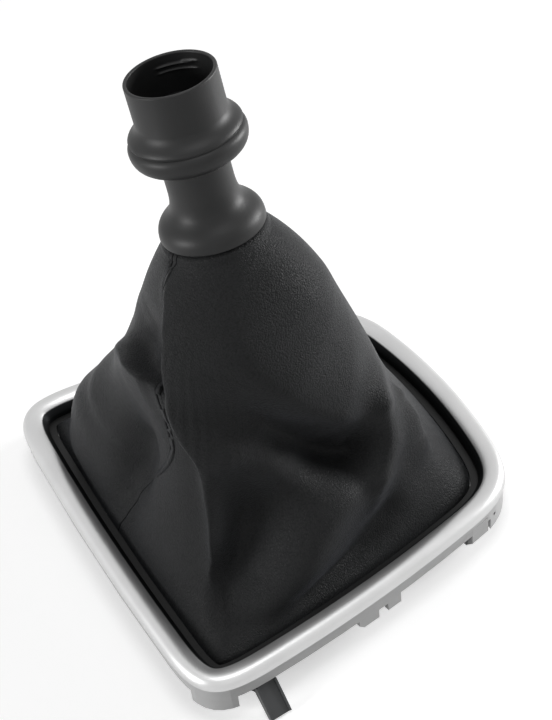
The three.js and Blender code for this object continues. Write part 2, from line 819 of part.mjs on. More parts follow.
// A closed shell from two grids of points, outer[column][row] and inner[column][row]; each
// cell is split along the outer grid's shorter diagonal, and the inner grid follows it
function shellGeometry(outer, inner) {
  const rows = outer[0].length;
  const loop = 2 * rows;
  const points = outer.flatMap((column, i) => [...column, ...inner[i].slice().reverse()]);
  const positions = points.flatMap((point) => [point.x, point.y, point.z]);
  const rising = (i, j) => outer[i][j].distanceTo(outer[i + 1][j + 1])
    < outer[i + 1][j].distanceTo(outer[i][j + 1]);
  const index = [];
  for (let i = 0; i + 1 < outer.length; i++) {
    for (let j = 0; j < loop; j++) {
      const k = (j + 1) % loop;
      const here = i * loop;
      const there = here + loop;
      const [a, b, c, d] = [here + j, there + j, there + k, here + k];
      const low = Math.min(j, loop - 2 - j);
      const split = low >= 0 && low + 1 < rows ? rising(i, low) : true;
      index.push(...(split === (j < rows) ? [a, b, c, a, c, d] : [b, c, d, b, d, a]));
    }
  }
  const last = (outer.length - 1) * loop;
  for (let j = 0; j + 1 < rows; j++) {
    const a = j;
    const b = j + 1;
    const c = loop - 2 - j;
    const d = loop - 1 - j;
    index.push(a, b, c, a, c, d);
    index.push(last + a, last + c, last + b, last + a, last + d, last + c);
  }
  return indexed(positions, index);
}

// Collar

function collarGeometry() {
  const bell = bellDiameter / 2;
  const neck = neckDiameter / 2;
  const ring = ringDiameter / 2;
  const cup = cupDiameter / 2;
  const bore = boreDiameter / 2;
  const spigot = spigotDiameter / 2;
  const flare = bell - neck;
  const crest = ringBase + ringHeight * 0.7;
  const ringTop = ringBase + ringHeight;
  const hollow = cup - cupWall;
  const ledge = cupWall / 4;
  const path = new THREE.Path();
  path.moveTo(bore, -spigotLength);
  path.lineTo(spigot, -spigotLength);
  path.lineTo(spigot, bellHeight / 2);
  path.quadraticCurveTo(bell - bellWall, bellHeight / 2, bell - bellWall / 2, 0);
  path.lineTo(bell, 0);
  path.lineTo(bell, bellWall / 2);
  path.bezierCurveTo(
    bell, bellHeight * 0.55,
    neck + flare * 0.55, bellHeight * 0.62,
    neck + flare * 0.3, bellHeight * 0.86,
  );
  path.quadraticCurveTo(neck, bellHeight * 1.1, neck, bellHeight * 1.7);
  path.lineTo(neck, ringBase - neckStep);
  path.quadraticCurveTo(neck + neckStep, ringBase - neckStep, neck + neckStep, ringBase - neckStep / 4);
  path.lineTo(neck + 1.3 * neckStep, ringBase);
  path.bezierCurveTo(
    ring - ringGroove, ringBase,
    ring, ringBase + ringHeight * 0.2,
    ring, ringBase + ringHeight * 0.42,
  );
  path.quadraticCurveTo(ring, crest - 1.6 * ringGroove, ring - ringGroove, crest - 0.9 * ringGroove);
  path.lineTo(ring - 0.65 * ringGroove, crest);
  path.bezierCurveTo(
    ring - 1.15 * ringGroove, crest + 1.4 * ringGroove,
    cup + 0.6 * ringGroove, ringTop - 1.4 * ringGroove,
    cup, ringTop + ringGroove,
  );
  path.lineTo(cup, collarHeight - cupWall / 2);
  path.lineTo(cup - cupWall * 0.3, collarHeight);
  path.lineTo(hollow + cupWall * 0.2, collarHeight);
  path.lineTo(hollow, collarHeight - cupWall / 2);
  path.lineTo(hollow, collarHeight - cupDepth * 0.42);
  path.lineTo(hollow - ledge, collarHeight - cupDepth * 0.44);
  path.lineTo(hollow - ledge, collarHeight - cupDepth);
  path.lineTo(bore, collarHeight - cupDepth);
  path.closePath();
  return new THREE.LatheGeometry(path.getPoints(5), roundSteps);
}

function bandGeometry() {
  const inside = topHemRadius + leatherThickness + clearance;
  const middle = -topDrop - topHemLap / 2 - bandWidth / 2;
  const corners = [
    [inside, middle], [inside + bandThickness, middle],
    [inside + bandThickness, middle + bandWidth], [inside, middle + bandWidth], [inside, middle],
  ];
  return new THREE.LatheGeometry(corners.map(([x, y]) => new THREE.Vector2(x, y)), roundSteps);
}

// Materials

function finish(color, roughness, metalness = 0) {
  return new THREE.MeshStandardMaterial({ color, roughness, metalness });
}

const satinSilver = finish("#c9c9c7", 0.32, 0.6);
const silverPlastic = finish("#a9aaa6", 0.55);
const darkPlastic = finish("#4a4c50", 0.6);
const blackLeather = finish("#2b2b2d", 0.5);
const blackRubber = finish("#353536", 0.48);
const blackNylon = finish("#1f1f20", 0.6);

// Assembly

const group = new THREE.Group();

function piece(name, geometry, material, parent = group) {
  const mesh = new THREE.Mesh(geometry, material);
  mesh.name = name;
  parent.add(mesh);
}

const wideSeam = -Math.PI - Math.atan2(seamOffset, frameLength / 2);
const narrowSeam = Math.atan2(seamOffset, frameLength / 2);

piece("trim_bezel", geometryFrom(solidFrom(bezelGeometry())), satinSilver);
piece("skirt_frame", skirtGeometry(), silverPlastic);
piece("retainer_frame", retainerGeometry(), darkPlastic);
const nearPanel = panelGeometry(wideSeam, narrowSeam, nearColumns, 0);
const farPanel = panelGeometry(narrowSeam, wideSeam + 2 * Math.PI, farColumns, 1);
piece("near_leather_panel", geometryFrom(solidFrom(nearPanel)), blackLeather);
piece("far_leather_panel", geometryFrom(solidFrom(farPanel)), blackLeather);

const collarGroup = new THREE.Group();
collarGroup.position.copy(collarFoot);
collarGroup.quaternion.setFromUnitVectors(new THREE.Vector3(0, 1, 0), collarAxis);
group.add(collarGroup);
piece("collar", collarGeometry(), blackRubber, collarGroup);
piece("clamp_band", bandGeometry(), blackNylon, collarGroup);

export default group;
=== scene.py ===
import math

import bmesh
import bpy
import numpy as np
from mathutils import Matrix, Vector


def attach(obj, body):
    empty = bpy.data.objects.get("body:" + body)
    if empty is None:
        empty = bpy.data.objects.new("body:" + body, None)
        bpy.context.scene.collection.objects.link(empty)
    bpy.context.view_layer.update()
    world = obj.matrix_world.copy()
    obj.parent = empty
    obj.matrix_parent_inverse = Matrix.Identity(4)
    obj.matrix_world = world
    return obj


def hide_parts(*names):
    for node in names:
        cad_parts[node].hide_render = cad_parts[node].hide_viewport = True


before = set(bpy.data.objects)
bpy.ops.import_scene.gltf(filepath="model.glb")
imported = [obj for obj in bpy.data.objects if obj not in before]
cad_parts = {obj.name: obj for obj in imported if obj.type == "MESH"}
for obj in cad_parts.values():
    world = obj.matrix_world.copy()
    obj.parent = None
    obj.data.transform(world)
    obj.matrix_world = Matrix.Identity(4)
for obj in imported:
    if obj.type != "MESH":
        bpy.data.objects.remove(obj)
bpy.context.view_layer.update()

mm = 0.001

# The camera stands at the photograph's viewing angle
camera = {
    "eye": (-0.196564, -0.449532, 0.540180),
    "azimuth": -24.251,
    "elevation": 43.397,
    "roll": -7.116,
    "lens": 90.1,
}


def makeCamera():
    azimuth, elevation, roll = (math.radians(camera[k]) for k in ("azimuth", "elevation", "roll"))
    back = Vector((
        math.sin(azimuth) * math.cos(elevation),
        -math.cos(azimuth) * math.cos(elevation),
        math.sin(elevation),
    ))
    right = Vector((math.cos(azimuth), math.sin(azimuth), 0))
    up = back.cross(right)
    tiltedRight = right * math.cos(roll) + up * math.sin(roll)
    tiltedUp = up * math.cos(roll) - right * math.sin(roll)
    data = bpy.data.cameras.new("camera")
    data.lens = camera["lens"]
    view = bpy.data.objects.new("camera", data)
    view.matrix_world = Matrix.Translation(camera["eye"]) @ Matrix((tiltedRight, tiltedUp, back)).transposed().to_4x4()
    bpy.context.scene.collection.objects.link(view)
    bpy.context.scene.camera = view


makeCamera()
print("camera placed")


# Materials: an expression on links adds its Math nodes
class Link:
    def __init__(self, finish, socket):
        self.finish = finish
        self.socket = socket

    def maths(self, operation, first, second):
        return self.finish.add("ShaderNodeMath", {"operation": operation}, {0: first, 1: second})

    def __add__(self, other):
        return self.maths("ADD", self, other)

    def __rsub__(self, other):
        return self.maths("SUBTRACT", other, self)

    def __mul__(self, other):
        return self.maths("MULTIPLY", self, other)

    __radd__ = __add__
    __rmul__ = __mul__


class Finish:
    def __init__(self, name, **fixed):
        self.material = bpy.data.materials.new(name)
        self.material.use_nodes = True
        self.tree = self.material.node_tree
        self.shader = next(n for n in self.tree.nodes if n.type == "BSDF_PRINCIPLED")
        for socket, value in fixed.items():
            self.feed(socket.replace("_", " "), value)
        self.place = self.add("ShaderNodeTexCoord", out="Object")

    def add(self, kind, settings=None, values=None, out=0):
        node = self.tree.nodes.new(kind)
        for name, value in (settings or {}).items():
            if name == "stops":
                ramp = node.color_ramp.elements
                while len(ramp) < len(value):
                    ramp.new(0.5)
                for element, (place, shade) in zip(ramp, value):
                    element.position = place
                    element.color = (*shade, 1) if hasattr(shade, "__len__") else (shade, shade, shade, 1)
            else:
                setattr(node, name, value)
        for name, value in (values or {}).items():
            self.connect(node.inputs[name], value)
        return Link(self, node.outputs[out])

    def connect(self, socket, value):
        if isinstance(value, Link):
            self.tree.links.new(value.socket, socket)
        else:
            socket.default_value = value

    def feed(self, name, value):
        self.connect(self.shader.inputs[name], value)

    def noise(self, scale, detail=3.0, roughness=0.5, place=None):
        return self.add("ShaderNodeTexNoise", None, {
            "Vector": place or self.place, "Scale": scale, "Detail": detail, "Roughness": roughness})

    def cells(self, scale, feature="F1", out="Distance", place=None, **values):
        return self.add("ShaderNodeTexVoronoi", {"feature": feature}, {
            "Vector": place or self.place, "Scale": scale, **values}, out)

    def ramp(self, factor, *stops):
        return self.add("ShaderNodeValToRGB", {"stops": stops}, {"Fac": factor})

    def between(self, factor, low, high):
        return self.add("ShaderNodeMapRange", None, {"Value": factor, "To Min": low, "To Max": high})

    def band(self, factor, start, end):
        return self.add("ShaderNodeMapRange", {"interpolation_type": "SMOOTHSTEP"}, {
            "Value": factor, "From Min": start, "From Max": end})

    def mixed(self, factor, first, second):
        first, second = ((*c, 1) if isinstance(c, tuple) else c for c in (first, second))
        return self.add("ShaderNodeMix", {"data_type": "RGBA"}, {0: factor, 6: first, 7: second}, 2)

    def stretched(self, scale):
        return self.add("ShaderNodeMapping", None, {"Vector": self.place, "Scale": scale})

    def bump(self, height, distance, strength=1.0, normal=None):
        values = {"Height": height, "Distance": distance, "Strength": strength}
        if normal:
            values["Normal"] = normal
        return self.add("ShaderNodeBump", None, values)


def grey(level, tint=0.0):
    return (level * (1 - tint), level, level * (1 + tint))


# Small pale specks of dust and nicks, as a factor
def specks(finish, scale, size, share):
    distance = finish.cells(scale)
    pick = finish.cells(scale, out="Color")
    near = 1 - finish.band(distance, size * 0.6, size)
    return near * finish.band(pick, 1 - share, 1 - share + 0.01)


# Black leather: rounded pebbles about 1 mm apart, soft wrinkles, and a dull bloom in patches
def leatherFinish():
    leather = Finish(
        "black_leather", Specular_IOR_Level=0.07, Sheen_Weight=0.04, Sheen_Roughness=0.4, Sheen_Tint=(0.8, 0.85, 1, 1))
    warped = leather.add("ShaderNodeVectorMath", {"operation": "MULTIPLY_ADD"}, {
        0: leather.add("ShaderNodeTexNoise", None, {"Vector": leather.place, "Scale": 700.0, "Detail": 1.0}, "Color"),
        1: (0.0007, 0.0007, 0.0007), 2: leather.place})
    pebbles = leather.cells(1450.0, "SMOOTH_F1", place=warped, Smoothness=0.4)
    groove = leather.band(leather.cells(1050.0, "DISTANCE_TO_EDGE", place=warped), 0.0, 0.14)
    patches = leather.noise(34.0, 4.0, 0.6)
    broad = leather.noise(9.0, 2.0, 0.5)
    grain = (1 - pebbles) * 0.75 + groove * 0.3 + leather.noise(2600.0, 2.0) * 0.12
    hide = leather.mixed(leather.band(patches * 0.6 + broad * 0.4, 0.3, 0.7), grey(0.0155, 0.02), grey(0.0225, 0.03))
    hide = leather.mixed(leather.band(grain, 0.35, 0.75) * 0.5, hide, grey(0.032, 0.02))
    leather.feed("Base Color", leather.mixed(specks(leather, 85.0, 0.035, 0.16), hide, grey(0.22)))
    leather.feed("Roughness", leather.between(patches * 0.5 + pebbles * 0.5, 0.36, 0.52))
    wrinkles = leather.bump(leather.noise(55.0, 3.0, 0.55), 0.0008, 0.4)
    soft = leather.bump(leather.noise(210.0, 3.0), 0.0002, 0.3, wrinkles)
    leather.feed("Normal", leather.bump(grain, 0.00022, 1.0, soft))
    return leather.material


def silverFinish():
    silver = Finish("satin_silver", Coat_Roughness=0.25)
    shaded = silver.add("ShaderNodeAttribute", {"attribute_name": "shaded"}, out="Fac")
    clouds = silver.noise(60.0, 3.0)
    flakes = silver.noise(5200.0, 1.0)
    paint = silver.mixed(clouds, grey(0.57), grey(0.66))
    paint = silver.mixed(specks(silver, 120.0, 0.05, 0.12), paint, grey(0.16))
    # Where 'shaded', the silver turns near black and loses its reflection and coat: painted shade for the gap under the
    # crown's inner edge
    silver.feed("Base Color", silver.mixed(shaded, paint, grey(0.012, 0.05)))
    silver.feed("Metallic", shaded * 0.2 + 0.8)
    silver.feed("Coat Weight", 0.15 - shaded * 0.15)
    silver.feed("Roughness", silver.between(clouds * 0.6 + flakes * 0.4, 0.3, 0.44) + shaded * 0.2)
    silver.feed("Normal", silver.bump(flakes, 0.00003, 0.5))
    return silver.material


# The retainer's inner ledge, above the given height, is painted near black as painted shade, so it reads as the shadow
# gap under the leather
def plasticFinish(name, dark, light, roughness, shadeAbove=None):
    plastic = Finish(name, Specular_IOR_Level=0.5 if shadeAbove is None else 0.3)
    flow = plastic.noise(45.0, 4.0, 0.6, plastic.stretched((1.0, 1.0, 3.0)))
    fine = plastic.noise(2400.0, 2.0)
    colour = plastic.mixed(flow, dark, light)
    if shadeAbove is not None:
        # Painted shade: near black above this height
        height = plastic.add("ShaderNodeSeparateXYZ", None, {0: plastic.place}, 2)
        colour = plastic.mixed(plastic.band(height, shadeAbove, shadeAbove + 0.001), colour, grey(0.004))
    plastic.feed("Base Color", colour)
    plastic.feed("Roughness", plastic.between(flow * 0.5 + fine * 0.5, roughness - 0.08, roughness + 0.08))
    plastic.feed("Normal", plastic.bump(fine, 0.00004, 0.6))
    return plastic.material


def rubberFinish():
    rubber = Finish("black_rubber", Specular_IOR_Level=0.32)
    fine = rubber.noise(3000.0, 2.0)
    patches = rubber.noise(70.0, 4.0, 0.6)
    skin = rubber.mixed(patches, grey(0.008, 0.02), grey(0.014, 0.02))
    rubber.feed("Base Color", rubber.mixed(specks(rubber, 95.0, 0.03, 0.12), skin, grey(0.25)))
    rubber.feed("Roughness", rubber.between(patches * 0.6 + fine * 0.4, 0.38, 0.54))
    rubber.feed("Normal", rubber.bump(fine, 0.00005, 0.7, rubber.bump(patches, 0.0002, 0.4)))
    return rubber.material


blackLeather = leatherFinish()
satinSilver = silverFinish()
silverPlastic = plasticFinish("silver_plastic", grey(0.4), grey(0.52), 0.5)
# The retainer's ledge above 12.5 mm is painted shade
darkPlastic = plasticFinish("dark_plastic", grey(0.055, 0.03), grey(0.08, 0.03), 0.5, 0.0125)
blackRubber = rubberFinish()
blackNylon = plasticFinish("black_nylon", grey(0.012), grey(0.018), 0.55)
print("materials made")


def newPiece(name, mesh, material, slot, *nodes):
    piece = bpy.data.objects.new(name, mesh)
    bpy.context.scene.collection.objects.link(piece)
    mesh.materials.clear()
    mesh.materials.append(material)
    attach(piece, "root")
    if nodes:
        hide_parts(*nodes)
    return piece


def smoothShading(mesh, angle):
    mesh.shade_smooth()
    mesh.set_sharp_from_angle(angle=math.radians(angle))


def meshFrom(bm, name):
    mesh = bpy.data.meshes.new(name)
    bm.to_mesh(mesh)
    bm.free()
    return mesh


# Outline of the frame, millimetres, at the parting line
outline = {
    "partingHeight": 19, "length": 150, "wideEndWidth": 176, "narrowEndWidth": 126,
    "sideBulge": 4.8, "wideEndBulge": 2.8, "narrowEndBulge": 8.5,
    "wideCornerCut": 27, "narrowCornerCut": 25, "wideCornerFullness": 0.8, "narrowCornerFullness": 0.77,
}


def bulgedSide(start, end, bulge):
    run = end - start
    outward = Vector((run.y, -run.x)).normalized()
    return lambda t: start + run * t + outward * (4 * bulge * t * (1 - t))


def direction(curve, t):
    return (curve(t + 1e-4) - curve(t - 1e-4)).normalized()


def frameSides():
    middle = (outline["narrowEndBulge"] - outline["wideEndBulge"]) / 2
    wideX = -outline["length"] / 2 - middle
    narrowX = outline["length"] / 2 - middle
    wideY = outline["wideEndWidth"] / 2
    narrowY = outline["narrowEndWidth"] / 2
    corners = [Vector((wideX, -wideY)), Vector((narrowX, -narrowY)), Vector((narrowX, narrowY)), Vector((wideX, wideY))]
    kinds = ["wide", "narrow", "narrow", "wide"]
    bulges = [outline["sideBulge"], outline["narrowEndBulge"], outline["sideBulge"], outline["wideEndBulge"]]
    sides = []
    for i in range(4):
        start, end = corners[i], corners[(i + 1) % 4]
        length = (end - start).length
        cutTo = outline[kinds[(i + 1) % 4] + "CornerCut"]
        sides.append({
            "curve": bulgedSide(start, end, bulges[i]),
            "first": outline[kinds[i] + "CornerCut"] / length,
            "last": 1 - cutTo / length,
            "handle": cutTo * outline[kinds[(i + 1) % 4] + "CornerFullness"],
        })
    return sides


def frameOutline(perSide, perCorner):
    sides = frameSides()
    points = []
    for side, following in zip(sides, sides[1:] + sides[:1]):
        curve, first, last = side["curve"], side["first"], side["last"]
        points += [curve(first + (last - first) * k / perSide) for k in range(perSide)]
        a, d = curve(last), following["curve"](following["first"])
        b = a + direction(curve, last) * side["handle"]
        c = d - direction(following["curve"], following["first"]) * side["handle"]
        for k in range(perCorner):
            t = k / perCorner
            points.append(a * (1 - t) ** 3 + b * (3 * t * (1 - t) ** 2) + c * (3 * t * t * (1 - t)) + d * t ** 3)
    return np.array([tuple(p) for p in points])


def outwards(points):
    run = np.roll(points, -1, axis=0) - np.roll(points, 1, axis=0)
    normal = np.stack([run[:, 1], -run[:, 0]], axis=1)
    return normal / np.linalg.norm(normal, axis=1)[:, None]


# Sections are sampled from short runs: (kind, control points)
def sampled(start, runs, steps):
    points = [Vector(start)]
    for controls in runs:
        last = points[-1]
        targets = [Vector(c) for c in controls]
        count = 1 if len(targets) == 1 else steps
        for k in range(1, count + 1):
            t = k / count
            if len(targets) == 1:
                points.append(targets[0])
            elif len(targets) == 2:
                points.append(last * (1 - t) ** 2 + targets[0] * (2 * t * (1 - t)) + targets[1] * t * t)
            else:
                points.append(
                    last * (1 - t) ** 3 + targets[0] * (3 * t * (1 - t) ** 2)
                    + targets[1] * (3 * t * t * (1 - t)) + targets[2] * t ** 3)
    return points


crown = {
    "width": 10.4, "height": 4.4, "peakInset": 4.2, "wall": 1.8, "edge": 0.9, "seat": 0.15, "foot": -1.75,
    # shadeEdge: from this inset inwards, the crown's inner flank is painted dark as painted shade
    "shadeEdge": 8.2,
}


def crownSection():
    inner = -crown["width"]
    height = crown["height"]
    peak = -crown["peakInset"]
    hollow = height - crown["wall"]
    return sampled((0, crown["seat"]), [
        [(0, crown["edge"])],
        [(peak * 0.2, height), (peak, height)],
        [(inner * 0.68, height), (inner * 0.9, height * 0.5), (inner, 0)],
        [(inner, crown["foot"])],
        [(inner + crown["wall"], crown["foot"])],
        [(inner + crown["wall"], 0)],
        [(inner * 0.66, hollow), (peak, hollow)],
        [(-crown["wall"] - 0.2, hollow), (-crown["wall"], crown["seat"])],
    ], 12)


def ringMesh(name, section, perSide, perCorner):
    path = frameOutline(perSide, perCorner)
    away = outwards(path)
    bm = bmesh.new()
    rings = []
    for (x, y), (dx, dy) in zip(path, away):
        loop = [bm.verts.new((
            (x + dx * p.x) * mm, (y + dy * p.x) * mm, (outline["partingHeight"] + p.y) * mm)) for p in section]
        rings.append([bm.edges.new((a, b)) for a, b in zip(loop, loop[1:] + loop[:1])])
    for here, there in zip(rings, rings[1:] + rings[:1]):
        bmesh.ops.bridge_loops(bm, edges=here + there)
    bmesh.ops.recalc_face_normals(bm, faces=bm.faces[:])
    return meshFrom(bm, name)


def makeBezel():
    section = crownSection()[:-1]
    mesh = ringMesh("trim_bezel_crown", section, 24, 28)
    # The 'shaded' mark covers the crown's inner flank past the shade edge: painted shade for the dark gap between crown
    # and leather
    shaded = mesh.attributes.new("shaded", "FLOAT", "POINT")
    across = np.array([-p.x for p in section])
    across = np.clip((across - crown["shadeEdge"]) / 0.3, 0, 1)
    shaded.data.foreach_set("value", np.tile(across, len(mesh.vertices) // len(section)))
    smoothShading(mesh, 40)
    return newPiece("trim_bezel_crown", mesh, satinSilver, "satin_silver", "trim_bezel")


makeBezel()
print("bezel made")


# The skirt and the retainer keep their CAD form, with slightly rounded edges
edges = {"skirt_frame": 0.25, "retainer_frame": 0.2}


def softEdged(node, name, material, slot):
    bm = bmesh.new()
    bm.from_mesh(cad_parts[node].data)
    bmesh.ops.remove_doubles(bm, verts=bm.verts[:], dist=0.00001)
    bmesh.ops.dissolve_limit(bm, angle_limit=math.radians(1), verts=bm.verts[:], edges=bm.edges[:])
    mesh = meshFrom(bm, name)
    smoothShading(mesh, 32)
    piece = newPiece(name, mesh, material, slot, node)
    bevel = piece.modifiers.new("soft_edges", "BEVEL")
    bevel.width = edges[node] * mm
    bevel.segments = 2
    bevel.limit_method = "ANGLE"
    bevel.angle_limit = math.radians(35)
    bevel.use_clamp_overlap = True
    bevel.harden_normals = True
    return piece


softEdged("skirt_frame", "skirt_frame_wall", silverPlastic, "silver_plastic")
softEdged("retainer_frame", "retainer_frame_wall", darkPlastic, "dark_plastic")
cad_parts["clamp_band"].data.materials.clear()
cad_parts["clamp_band"].data.materials.append(blackNylon)
print("skirt and retainer made")

# Leather boot, millimetres, with the same form as the part's solids
boot = {
    "thickness": 1.2, "hemInset": 13.7, "sillInset": 14.2, "sillHeight": 18, "lapLow": 13, "lapHigh": 16.65,
    "waist": 0.05, "cornerSoftening": 0.16, "softArc": 42,
    "seamGap": 0.3, "seamOffset": 7, "seamSway": 26, "swayShares": (0.15, 0.5, 0.6, 1), "collarTwist": 18,
    "topRadius": 12.8, "foldRadius": 3.35, "topDrop": 3.85, "topHemLap": 8,
    "collarFoot": (-11.4, 0, 148.2), "collarAxis": (-3.6, 9.6, 60), "foldSteps": 32,
    "columns": 250, "rows": 170,
}

# Each fold: its route of (degrees round the boot, share of its height), heights, left and right width, sharpness
folds = [
    {"name": "recess", "left": 9, "right": 12, "sharp": 0, "lean": 0, "route": [
        (-176, 0.84), (-180, 0.77), (-186, 0.7),
    ], "heights": [0, -3, -5]},
    {"name": "far shoulder hollow", "left": 14, "right": 22, "sharp": 0, "lean": 0, "route": [
        (-226, 0.9), (-223, 0.76), (-219, 0.64), (-217, 0.54),
    ], "heights": [-1, -2, -3, -4]},
    {"name": "wide end valley", "left": 9, "right": 12, "sharp": 0, "lean": 0, "route": [
        (-188, 0.05), (-186, 0.14), (-184, 0.24), (-180, 0.36), (-172, 0.46),
    ], "heights": [-2, -6, -9, -8, -3]},
    {"name": "left pouch", "left": 18, "right": 18, "sharp": 0, "lean": 0, "route": [
        (-225, 0.12), (-222, 0.25), (-217, 0.36), (-211, 0.45),
    ], "heights": [11, 12, 9, 5]},
    {"name": "shoulder", "left": 24, "right": 24, "sharp": 0, "lean": 0, "route": [
        (-43.5, 0.93), (-54.5, 0.83), (-55, 0.715),
    ], "heights": [5, 5, 1]},
    {"name": "near bulge", "left": 24, "right": 9, "sharp": 0, "lean": 0, "route": [
        (-110.5, 0.875), (-106.5, 0.765), (-95, 0.635), (-74.5, 0.515), (-59.5, 0.45),
    ], "heights": [3, 6, 9, 9, 5]},
    {"name": "left ridge", "left": 14, "right": 4.5, "sharp": 0.8, "lean": -0.5, "route": [
        (-169.5, 1), (-154, 0.92), (-143, 0.85), (-138.5, 0.745), (-136.5, 0.65), (-134.5, 0.59),
        (-129.5, 0.53), (-129, 0.405), (-129, 0.28), (-131.5, 0.155), (-135, 0.09),
    ], "heights": [2, 7, 10, 12, 11, 10, 10, 10, 10, 8, 2]},
    {"name": "corner hollow", "left": 15, "right": 8, "sharp": 0, "lean": 0, "route": [
        (-119.5, 0.445), (-121, 0.275), (-125.5, 0.16), (-130, 0.095),
    ], "heights": [-7, -14, -15, -8]},
    {"name": "under bulge", "left": 8, "right": 8, "sharp": 0.2, "lean": 0, "route": [
        (-131.5, 0.66), (-122, 0.635), (-109.5, 0.57), (-94, 0.45),
        (-81, 0.355), (-71.5, 0.315), (-65.5, 0.325),
    ], "heights": [-1, -3, -6, -9, -13, -13, -7]},
    {"name": "shelf", "left": 10, "right": 10, "sharp": 0, "lean": 0, "route": [
        (-125.5, 0.57), (-117.5, 0.52), (-106.5, 0.42),
    ], "heights": [2, 4, 5]},
    {"name": "diagonal ridge", "left": 12, "right": 12, "sharp": 0, "lean": 0, "route": [
        (-67, 0.285), (-86, 0.25), (-102.5, 0.185), (-115, 0.085), (-126, 0.025),
    ], "heights": [7, 8, 8, 6, 2]},
    {"name": "diagonal hollow", "left": 8, "right": 8, "sharp": 0, "lean": 0, "route": [
        (-68.5, 0.125), (-88.5, 0.05), (-108, 0.02), (-120.5, 0.01),
    ], "heights": [-5, -6, -6, -2]},
    {"name": "right ridge", "left": 10, "right": 5, "sharp": 0.4, "lean": 0, "route": [
        (-47, 0.475), (-54.5, 0.435), (-58, 0.335),
        (-68, 0.255), (-73, 0.18), (-74.5, 0.1),
    ], "heights": [3, 7, 8, 6, 3, 0]},
    {"name": "corner fold", "left": 5, "right": 10, "sharp": 0.2, "lean": 0, "route": [
        (-37, 0.405), (-39, 0.355), (-40.5, 0.28), (-41, 0.2), (-41, 0.125),
    ], "heights": [1, 5, 7, 5, 1]},
    {"name": "pouch crest", "left": 3.6, "right": 15, "sharp": 0.6, "lean": 0.7, "route": [
        (-198, 0.625), (-173, 0.635), (-158.5, 0.64), (-151.5, 0.65), (-146.5, 0.655),
    ], "heights": [9, 12, 12, 10, 5]},
]

collarFoot = np.array(boot["collarFoot"], float)
collarAxis = np.array(boot["collarAxis"], float)
collarAxis /= np.linalg.norm(collarAxis)
collarAcross = np.array((0, 1, 0)) - collarAxis * collarAxis[1]
collarAcross /= np.linalg.norm(collarAcross)
collarAlong = np.cross(collarAcross, collarAxis)


# The frame's outline moved inwards, as a distance from the middle for each direction
def outlineDistance(inset):
    path = frameOutline(40, 40)
    moved = path - outwards(path) * inset
    angles = np.arctan2(moved[:, 1], moved[:, 0]) % (2 * math.pi)
    order = np.argsort(angles)
    lengths = np.linalg.norm(moved, axis=1)
    return lambda direct: np.interp(direct % (2 * math.pi), angles[order], lengths[order], period=2 * math.pi)


sillDistance = outlineDistance(boot["sillInset"])
lapDistance = outlineDistance(boot["hemInset"])


def softDistance(direct):
    turns = np.arange(-boot["softArc"], boot["softArc"] + 1, 3)
    shares = 1 + np.cos(np.pi * turns / boot["softArc"])
    total = sum(share * sillDistance(direct + math.radians(turn)) for turn, share in zip(turns, shares))
    return total / shares.sum()


def smooth(x, low, high):
    t = np.clip((x - low) / (high - low), 0, 1)
    return t * t * (3 - 2 * t)


def topPoint(direct, radius, rise):
    return (collarFoot + collarAxis * np.asarray(rise)[..., None]
            + collarAlong * (radius * np.cos(direct))[..., None] + collarAcross * (radius * np.sin(direct))[..., None])


def plainPoint(direct, share):
    softness = 1 - (1 - np.clip(share / boot["cornerSoftening"], 0, 1)) ** 2
    distance = sillDistance(direct) * (1 - softness) + softDistance(direct) * softness
    inwards = share + boot["waist"] * np.sin(2 * np.pi * share)
    top = topPoint(direct, boot["topRadius"] + 2 * boot["foldRadius"] + 0 * direct, -boot["topDrop"] + 0 * direct)
    foot = np.stack([distance * np.cos(direct), distance * np.sin(direct), boot["sillHeight"] + 0 * direct], axis=-1)
    mixing = np.stack([inwards, inwards, share], axis=-1)
    return foot + (top - foot) * mixing


def normalOf(surface, direct, share):
    around = surface(direct + 0.01, share) - surface(direct - 0.01, share)
    up = surface(direct, np.minimum(1, share + 0.01)) - surface(direct, np.maximum(0, share - 0.01))
    normal = np.cross(around, up)
    return normal / np.linalg.norm(normal, axis=-1, keepdims=True)


# A smooth curve through a fold's stops
def throughStops(stops, steps):
    ahead = 2 * stops[0] - stops[1]
    behind = 2 * stops[-1] - stops[-2]
    padded = np.vstack([ahead, stops, behind])
    points = []
    for k in range(steps + 1):
        place = k / steps * (len(stops) - 1)
        i = min(int(place), len(stops) - 2)
        t = place - i
        p = padded[i:i + 4]
        d = np.maximum(np.linalg.norm(np.diff(p, axis=0), axis=1) ** 0.5, 1e-4)
        m1 = ((p[1] - p[0]) / d[0] - (p[2] - p[0]) / (d[0] + d[1]) + (p[2] - p[1]) / d[1]) * d[1]
        m2 = ((p[2] - p[1]) / d[1] - (p[3] - p[1]) / (d[1] + d[2]) + (p[3] - p[2]) / d[2]) * d[1]
        c2 = -3 * p[1] + 3 * p[2] - 2 * m1 - m2
        c3 = 2 * p[1] - 2 * p[2] + m1 + m2
        points.append(p[1] + m1 * t + c2 * t * t + c3 * t ** 3)
    return np.array(points)


def valueAlong(values, share):
    values = np.array(values, float)
    place = share * (len(values) - 1)
    index = np.clip(np.floor(place).astype(int), 0, len(values) - 2)
    ease = smooth(place - index, 0, 1)
    return values[index] * (1 - ease) + values[index + 1] * ease


